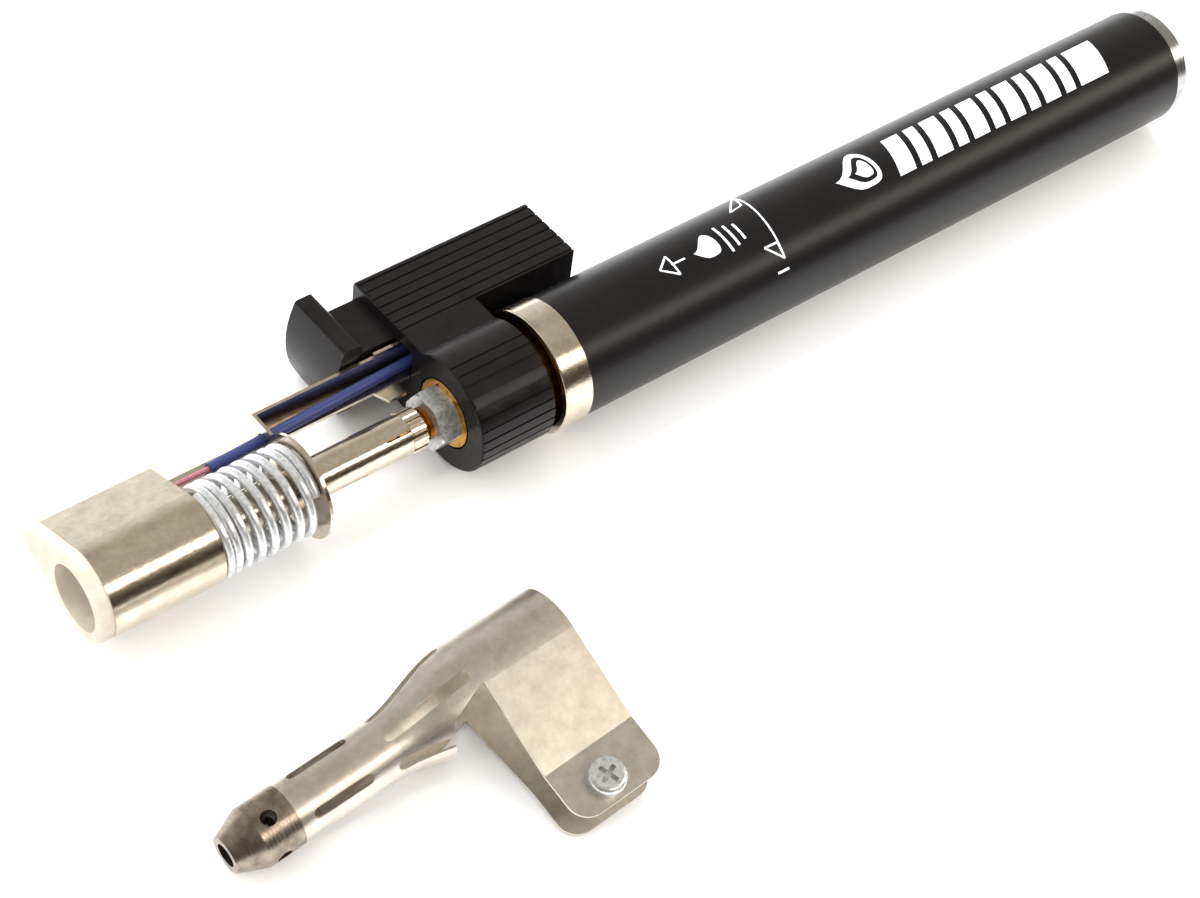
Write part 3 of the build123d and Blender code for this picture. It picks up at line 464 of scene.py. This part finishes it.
def nickel(name, colour, dark_tone, rough_low, rough_high, peel_mm, grain_mm, place_of=None):
    # Plated sheet: fine drawn grain, orange peel, and a slow drift of tone and gloss.
    made, tree, shader = new_surface(name, colour, 1.0, rough_low)
    place = add(tree, "ShaderNodeTexCoord").outputs["Object"]
    if place_of is not None:
        place = add(tree, "ShaderNodeMapping", {"Vector": place, **place_of}, vector_type="TEXTURE")
        place = place.outputs["Vector"]
    peel = add(tree, "ShaderNodeTexNoise", {"Vector": place, "Scale": per_mm(peel_mm), "Detail": 4.0,
                                            "Roughness": 0.6})
    drawn = add(tree, "ShaderNodeMapping", {"Vector": place, "Scale": (0.12, 1.0, 1.0)})
    scratches = add(tree, "ShaderNodeTexNoise", {"Vector": drawn.outputs["Vector"],
                                                 "Scale": per_mm(grain_mm), "Detail": 2.0})
    drift = add(tree, "ShaderNodeTexNoise", {"Vector": place, "Scale": per_mm(3.0), "Detail": 6.0,
                                             "Roughness": 0.75})
    tone = add(tree, "ShaderNodeValToRGB", {"Fac": drift.outputs["Fac"]})
    tone.color_ramp.elements[0].position = 0.32
    tone.color_ramp.elements[0].color = linear(dark_tone)
    tone.color_ramp.elements[1].position = 0.66
    tone.color_ramp.elements[1].color = linear(colour)
    into(tree, tone.outputs["Color"], shader, "Base Color")
    gloss = add(tree, "ShaderNodeMapRange", {"Value": scratches.outputs["Fac"], "From Min": 0.3,
                                             "From Max": 0.7, "To Min": rough_low, "To Max": rough_high})
    into(tree, gloss.outputs["Result"], shader, "Roughness")
    relief = add(tree, "ShaderNodeMath", {0: peel.outputs["Fac"], 1: scratches.outputs["Fac"]},
                 operation="ADD")
    bumps = add(tree, "ShaderNodeBump", {"Height": relief.outputs["Value"], "Strength": 0.35,
                                         "Distance": 0.00002})
    into(tree, bumps.outputs["Normal"], shader, "Normal")
    return made


nickel_plate = nickel("bright_nickel_plate", "#e6dccb", "#cbbfac", 0.12, 0.24, 0.7, 0.12)
dress(nickel_plate, "front_collar")
# painted shade: a darker copy of the turned brass for the valve seat, body, jet and needle, which sit in
# shadow inside the collar and housing
brass_darkened_as_shade = turned_metal("brass_with_painted_shade", "#b8772a", 0.30, 0.20, 0.02, "#7d4512")
dress(brass_darkened_as_shade, "valve_seat", "valve_body", "gas_jet", "valve_needle")
dress(turned_brass, "brass_washer")

# ---------------------------------------------------------------- igniter housing
# A moulded ABS block that turns with the valve and holds the piezo unit, ribbed for grip.
# Its ring slips over the valve body.
# black ABS: moulded, near-black and slightly warm, satin from a spark-eroded mould
black_abs, tree, shader = new_surface("moulded_black_abs", "#100f0f", 0.0, 0.30)
shader.inputs["Specular IOR Level"].default_value = 0.20
place = add(tree, "ShaderNodeTexCoord").outputs["Object"]
eroded = add(tree, "ShaderNodeTexNoise", {"Vector": place, "Scale": per_mm(0.22), "Detail": 3.0})
worn = add(tree, "ShaderNodeTexNoise", {"Vector": place, "Scale": per_mm(3.5), "Detail": 3.0})
tone = add(tree, "ShaderNodeValToRGB", {"Fac": worn.outputs["Fac"]})
tone.color_ramp.elements[0].color = linear("#0c0b0b")
tone.color_ramp.elements[1].color = linear("#191616")
into(tree, tone.outputs["Color"], shader, "Base Color")
gloss = add(tree, "ShaderNodeMapRange", {"Value": worn.outputs["Fac"], "From Min": 0.3, "From Max": 0.7,
                                         "To Min": 0.24, "To Max": 0.36})
into(tree, gloss.outputs["Result"], shader, "Roughness")
bumps = add(tree, "ShaderNodeBump", {"Height": eroded.outputs["Fac"], "Strength": 0.3, "Distance": 0.00002})
into(tree, bumps.outputs["Normal"], shader, "Normal")
dress(black_abs, "igniter_housing", "igniter_button")

# ---------------------------------------------------------------- piezo unit
# A bought-in striker pressed into the housing: a potted resin case, a turned steel plunger
# and the crystal it strikes, which wears the plunger's grey metal here.
piezo_resin, tree, shader = new_surface("potted_resin_case", "#2b2d33", 0.0, 0.25)
place = add(tree, "ShaderNodeTexCoord").outputs["Object"]
swirl = add(tree, "ShaderNodeTexNoise", {"Vector": place, "Scale": per_mm(1.8), "Detail": 3.0})
bumps = add(tree, "ShaderNodeBump", {"Height": swirl.outputs["Fac"], "Strength": 0.3, "Distance": 0.00004})
into(tree, bumps.outputs["Normal"], shader, "Normal")
dress(piezo_resin, "piezo_unit")
plunger_steel = turned_metal("turned_dark_steel", "#8f8a84", 0.30, 0.18, 0.015, "#5f5953")
dress(plunger_steel, "piezo_plunger", "piezo_crystal")

# ---------------------------------------------------------------- nut, ferrule and mixing tube
# The valve's brass stud carries a zinc-plated nut and a knurled ferrule. The ferrule grips
# the mixing tube, rolled from nickel-plated sheet, with its two air slots and open seam.
# zinc plate: cool pale grey with the crystalline mottle of barrel plating
zinc_plate, tree, shader = new_surface("barrel_zinc_plate", "#d6d9da", 0.9, 0.34)
place = add(tree, "ShaderNodeTexCoord").outputs["Object"]
spangle = add(tree, "ShaderNodeTexVoronoi", {"Vector": place, "Scale": per_mm(0.7)})
pitted = add(tree, "ShaderNodeTexNoise", {"Vector": place, "Scale": per_mm(0.35), "Detail": 4.0})
mixed = add(tree, "ShaderNodeMath", {0: spangle.outputs["Distance"], 1: pitted.outputs["Fac"]},
            operation="MULTIPLY")
tone = add(tree, "ShaderNodeValToRGB", {"Fac": mixed.outputs["Value"]})
tone.color_ramp.elements[0].position = 0.05
tone.color_ramp.elements[0].color = linear("#b9bdbe")
tone.color_ramp.elements[1].position = 0.40
tone.color_ramp.elements[1].color = linear("#e2e4e3")
into(tree, tone.outputs["Color"], shader, "Base Color")
gloss = add(tree, "ShaderNodeMapRange", {"Value": pitted.outputs["Fac"], "From Min": 0.3, "From Max": 0.7,
                                         "To Min": 0.26, "To Max": 0.44})
into(tree, gloss.outputs["Result"], shader, "Roughness")
bumps = add(tree, "ShaderNodeBump", {"Height": pitted.outputs["Fac"], "Strength": 0.30,
                                     "Distance": 0.000015})
into(tree, bumps.outputs["Normal"], shader, "Normal")
dress(zinc_plate, "hex_nut")
dress(nickel_plate, "burner_tube", "knurled_ferrule")
dress(plunger_steel, "flame_screen")

# ---------------------------------------------------------------- bracket
# A bracket stamped and bent from nickel-plated sheet. Its rear end sits in a slot of the
# housing, and its flange carries the spring and guides the lead.
dress(nickel_plate, "wire_bracket")

# ---------------------------------------------------------------- ignition lead and electrode wire
# A silicone-sleeved lead runs from the piezo unit through the bracket's flange. A thin
# enamelled wire goes on from its end into the burner head.
# silicone rubber sleeve: slate blue, soft sheen, faint die lines along its length
blue_sleeve, tree, shader = new_surface("extruded_silicone_sleeve", "#28305f", 0.0, 0.40)
place = add(tree, "ShaderNodeTexCoord").outputs["Object"]
drawn = add(tree, "ShaderNodeMapping", {"Vector": place, "Scale": (0.05, 1.0, 1.0)})
die_lines = add(tree, "ShaderNodeTexNoise", {"Vector": drawn.outputs["Vector"], "Scale": per_mm(0.25),
                                             "Detail": 2.0})
tone = add(tree, "ShaderNodeValToRGB", {"Fac": die_lines.outputs["Fac"]})
tone.color_ramp.elements[0].color = linear("#20284f")
tone.color_ramp.elements[1].color = linear("#363f78")
into(tree, tone.outputs["Color"], shader, "Base Color")
bumps = add(tree, "ShaderNodeBump", {"Height": die_lines.outputs["Fac"], "Strength": 0.4,
                                     "Distance": 0.00003})
into(tree, bumps.outputs["Normal"], shader, "Normal")
dress(blue_sleeve, "ignition_lead")

# enamelled wire: a dusty pink baked varnish over the metal
pink_wire, tree, shader = new_surface("enamelled_wire", "#b4707c", 0.0, 0.35)
place = add(tree, "ShaderNodeTexCoord").outputs["Object"]
uneven = add(tree, "ShaderNodeTexNoise", {"Vector": place, "Scale": per_mm(0.8), "Detail": 2.0})
tone = add(tree, "ShaderNodeValToRGB", {"Fac": uneven.outputs["Fac"]})
tone.color_ramp.elements[0].color = linear("#8a505c")
tone.color_ramp.elements[1].color = linear("#b0737e")
into(tree, tone.outputs["Color"], shader, "Base Color")
dress(pink_wire, "electrode_wire")

# ---------------------------------------------------------------- burner spring
# A helical spring of zinc-plated wire pushes the burner head forward from the bracket's
# flange. Its end turns lie close together.
spring_low, spring_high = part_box("coil_spring")
spring_wire_r = 0.00065
spring_mean_r = spring_high.z - spring_wire_r
front_turns = 1.9
rear_turns = 1.0
open_turns = 5.3
points_per_turn = 40.0
start_angle = 1.2
wire_sides = 16

# zinc-plated spring wire: bright and cool, drawn lines round the coil too fine to see,
# so a slow mottle stands for them
spring_zinc, tree, shader = new_surface("zinc_plated_spring_wire", "#e4e7ea", 0.85, 0.34)
place = add(tree, "ShaderNodeTexCoord").outputs["Object"]
uneven = add(tree, "ShaderNodeTexNoise", {"Vector": place, "Scale": per_mm(0.5), "Detail": 4.0})
tone = add(tree, "ShaderNodeValToRGB", {"Fac": uneven.outputs["Fac"]})
tone.color_ramp.elements[0].position = 0.3
tone.color_ramp.elements[0].color = linear("#cdd2d6")
tone.color_ramp.elements[1].position = 0.6
tone.color_ramp.elements[1].color = linear("#f0f2f4")
into(tree, tone.outputs["Color"], shader, "Base Color")
gloss = add(tree, "ShaderNodeMapRange", {"Value": uneven.outputs["Fac"], "From Min": 0.3, "From Max": 0.7,
                                         "To Min": 0.28, "To Max": 0.44})
into(tree, gloss.outputs["Result"], shader, "Roughness")
bumps = add(tree, "ShaderNodeBump", {"Height": uneven.outputs["Fac"], "Strength": 0.3, "Distance": 0.00003})
into(tree, bumps.outputs["Normal"], shader, "Normal")


def new_shape_tree(name, inputs):
    # An empty node group for a mesh, with named inputs for its sizes.
    group = bpy.data.node_groups.new(name, "GeometryNodeTree")
    group.interface.new_socket("Geometry", in_out="OUTPUT", socket_type="NodeSocketGeometry")
    for label, kind in inputs:
        group.interface.new_socket(label, in_out="INPUT", socket_type=kind)
    return group, add(group, "NodeGroupInput"), add(group, "NodeGroupOutput")


def made_by_tree(name, group, values):
    # Runs a node group on an empty mesh and returns the result as a plain mesh.
    carrier = bpy.data.objects.new(name + "_carrier", bpy.data.meshes.new(name + "_carrier"))
    bpy.context.scene.collection.objects.link(carrier)
    made = carrier.modifiers.new("shape", "NODES")
    made.node_group = group
    for item in group.interface.items_tree:
        if item.in_out == "INPUT" and item.name in values:
            made[item.identifier] = values[item.name]
    bpy.context.view_layer.update()
    mesh = bpy.data.meshes.new_from_object(carrier.evaluated_get(bpy.context.evaluated_depsgraph_get()))
    carrier.modifiers.remove(made)
    bpy.data.objects.remove(carrier)
    return mesh


coil_tree, given, result = new_shape_tree("wound_spring", (
    ("Mean radius", "NodeSocketFloat"), ("Wire radius", "NodeSocketFloat"), ("Front", "NodeSocketFloat"),
    ("Length", "NodeSocketFloat"), ("Front turns", "NodeSocketFloat"), ("Open turns", "NodeSocketFloat"),
    ("Rear turns", "NodeSocketFloat"), ("Points per turn", "NodeSocketFloat"),
    ("Start angle", "NodeSocketFloat"), ("Finish", "NodeSocketMaterial")))
size = given.outputs
value = {socket.name: socket for socket in size if socket.name}
value["index"] = add(coil_tree, "GeometryNodeInputIndex").outputs["Index"]
# The path of the wire, one node to a row: its name, kind, setting, and what its sockets take.
# The climb runs in three straight parts, over the front, the open and the rear turns.
for label, kind, setting, takes in (
        ("open to", "ShaderNodeMath", {"operation": "ADD"}, {0: "Front turns", 1: "Open turns"}),
        ("all turns", "ShaderNodeMath", {"operation": "ADD"}, {0: "open to", 1: "Rear turns"}),
        ("steps", "ShaderNodeMath", {"operation": "MULTIPLY"}, {0: "all turns", 1: "Points per turn"}),
        ("count", "ShaderNodeMath", {"operation": "ADD"}, {0: "steps", 1: 1.0}),
        ("turns", "ShaderNodeMath", {"operation": "DIVIDE"}, {0: "index", 1: "Points per turn"}),
        ("wire width", "ShaderNodeMath", {"operation": "MULTIPLY"}, {0: "Wire radius", 1: 2.0}),
        ("front rise", "ShaderNodeMath", {"operation": "MULTIPLY"}, {0: "wire width", 1: "Front turns"}),
        ("rear rise", "ShaderNodeMath", {"operation": "MULTIPLY"}, {0: "wire width", 1: "Rear turns"}),
        ("whole rise", "ShaderNodeMath", {"operation": "SUBTRACT"}, {0: "Length", 1: "wire width"}),
        ("closed rise", "ShaderNodeMath", {"operation": "ADD"}, {0: "front rise", 1: "rear rise"}),
        ("open rise", "ShaderNodeMath", {"operation": "SUBTRACT"}, {0: "whole rise", 1: "closed rise"}),
        ("front climb", "ShaderNodeMapRange", {"clamp": True},
         {"Value": "turns", "From Min": 0.0, "From Max": "Front turns", "To Max": "front rise"}),
        ("open climb", "ShaderNodeMapRange", {"clamp": True},
         {"Value": "turns", "From Min": "Front turns", "From Max": "open to", "To Max": "open rise"}),
        ("rear climb", "ShaderNodeMapRange", {"clamp": True},
         {"Value": "turns", "From Min": "open to", "From Max": "all turns", "To Max": "rear rise"}),
        ("late climb", "ShaderNodeMath", {"operation": "ADD"}, {0: "open climb", 1: "rear climb"}),
        ("climb", "ShaderNodeMath", {"operation": "ADD"}, {0: "front climb", 1: "late climb"}),
        ("first x", "ShaderNodeMath", {"operation": "ADD"}, {0: "Front", 1: "Wire radius"}),
        ("x", "ShaderNodeMath", {"operation": "ADD"}, {0: "first x", 1: "climb"}),
        ("turned", "ShaderNodeMath", {"operation": "MULTIPLY"}, {0: "turns", 1: 2 * math.pi}),
        ("angle", "ShaderNodeMath", {"operation": "ADD"}, {0: "turned", 1: "Start angle"}),
        ("cosine", "ShaderNodeMath", {"operation": "COSINE"}, {0: "angle"}),
        ("sine", "ShaderNodeMath", {"operation": "SINE"}, {0: "angle"}),
        ("y", "ShaderNodeMath", {"operation": "MULTIPLY"}, {0: "Mean radius", 1: "cosine"}),
        ("z", "ShaderNodeMath", {"operation": "MULTIPLY"}, {0: "Mean radius", 1: "sine"}),
        ("place", "ShaderNodeCombineXYZ", {}, {"X": "x", "Y": "y", "Z": "z"})):
    inputs = {socket: value.get(taken, taken) for socket, taken in takes.items()}
    value[label] = add(coil_tree, kind, inputs, **setting).outputs[0]
start_line = add(coil_tree, "GeometryNodeMeshLine", {"Count": value["count"]})
placed = add(coil_tree, "GeometryNodeSetPosition", {"Geometry": start_line.outputs["Mesh"],
                                                    "Position": value["place"]})
path = add(coil_tree, "GeometryNodeMeshToCurve", {"Mesh": placed.outputs["Geometry"]})
section = add(coil_tree, "GeometryNodeCurvePrimitiveCircle", {"Resolution": wire_sides,
                                                              "Radius": size["Wire radius"]})
wire = add(coil_tree, "GeometryNodeCurveToMesh", {"Curve": path.outputs["Curve"],
                                                  "Profile Curve": section.outputs["Curve"],
                                                  "Fill Caps": True})
smooth = add(coil_tree, "GeometryNodeSetShadeSmooth", {"Geometry": wire.outputs["Mesh"]})
real = add(coil_tree, "GeometryNodeRealizeInstances", {"Geometry": smooth.outputs["Geometry"]})
coated = add(coil_tree, "GeometryNodeSetMaterial", {"Geometry": real.outputs["Geometry"],
                                                    "Material": size["Finish"]})
coil_tree.links.new(coated.outputs["Geometry"], result.inputs["Geometry"])

spring_free = spring_high.x - spring_low.x
spring_mesh = made_by_tree("burner_spring", coil_tree, {
    "Mean radius": spring_mean_r, "Wire radius": spring_wire_r, "Front": spring_low.x,
    "Length": spring_free, "Front turns": front_turns, "Open turns": open_turns,
    "Rear turns": rear_turns, "Points per turn": points_per_turn, "Start angle": start_angle,
    "Finish": spring_zinc})
burner_spring = make_piece("burner_spring", spring_mesh, None, "valve_head", "zinc_plate", "coil_spring")
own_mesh(burner_spring)

# The small spring in the filler valve is wound the same way, at its free length.
refill_low, refill_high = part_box("filler_spring")
refill_wire_r = 0.00022
refill_end_turns = 1.0
refill_open_turns = 6.0
refill_points_per_turn = 24.0
refill_free = refill_high.x - refill_low.x
refill_mesh = made_by_tree("refill_spring", coil_tree, {
    "Mean radius": refill_high.z - refill_wire_r, "Wire radius": refill_wire_r, "Front": refill_low.x,
    "Length": refill_free, "Front turns": refill_end_turns, "Open turns": refill_open_turns,
    "Rear turns": refill_end_turns, "Points per turn": refill_points_per_turn, "Start angle": 0.0,
    "Finish": spring_zinc})
refill_spring = make_piece("refill_spring", refill_mesh, None, "handle", "zinc_plate", "filler_spring")
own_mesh(refill_spring)
dress(spring_zinc, "button_spring")

# ---------------------------------------------------------------- burner head
# A drawn nickel-plated sleeve round a ceramic burner. It is teardrop shaped, to make room
# for the electrode.
dress(nickel_plate, "head_shroud")

# fired steatite: cream white, dry and slightly chalky, with a little light inside
steatite, tree, shader = new_surface("fired_steatite", "#cbc0ae", 0.0, 0.55)
shader.inputs["Subsurface Weight"].default_value = 0.15
shader.inputs["Subsurface Radius"].default_value = (0.8, 0.6, 0.4)
shader.inputs["Subsurface Scale"].default_value = 0.0006
place = add(tree, "ShaderNodeTexCoord").outputs["Object"]
chalk = add(tree, "ShaderNodeTexNoise", {"Vector": place, "Scale": per_mm(0.35), "Detail": 4.0})
warm = add(tree, "ShaderNodeTexNoise", {"Vector": place, "Scale": per_mm(2.6), "Detail": 3.0})
tone = add(tree, "ShaderNodeValToRGB", {"Fac": warm.outputs["Fac"]})
tone.color_ramp.elements[0].position = 0.3
tone.color_ramp.elements[0].color = linear("#bfb4a2")
tone.color_ramp.elements[1].position = 0.7
tone.color_ramp.elements[1].color = linear("#d3c9b8")
into(tree, tone.outputs["Color"], shader, "Base Color")
bumps = add(tree, "ShaderNodeBump", {"Height": chalk.outputs["Fac"], "Strength": 0.35, "Distance": 0.00005})
into(tree, bumps.outputs["Normal"], shader, "Normal")
dress(steatite, "ceramic_nozzle")

# ---------------------------------------------------------------- soldering tip
# A clamp-on sleeve bent from satin nickel-plated sheet, with a turned steel nozzle. A
# zinc-plated screw pinches its two ears together.
tip_frame = {"Location": (-0.0356, -0.0379, -0.0014198),
             "Rotation": (math.radians(8.805), math.radians(-4.993), math.radians(2.1))}
satin_nickel = nickel("satin_nickel_sheet", "#e2dcd2", "#c6bfb3", 0.30, 0.42, 0.35, 0.15, tip_frame)
dress(satin_nickel, "tip_sleeve")
nozzle_steel = turned_metal("turned_nozzle_steel", "#a3978a", 0.30, 0.20, 0.02, "#786b5e", tip_frame)
dress(nozzle_steel, "tip_nozzle")
dress(zinc_plate, "clamp_screw")
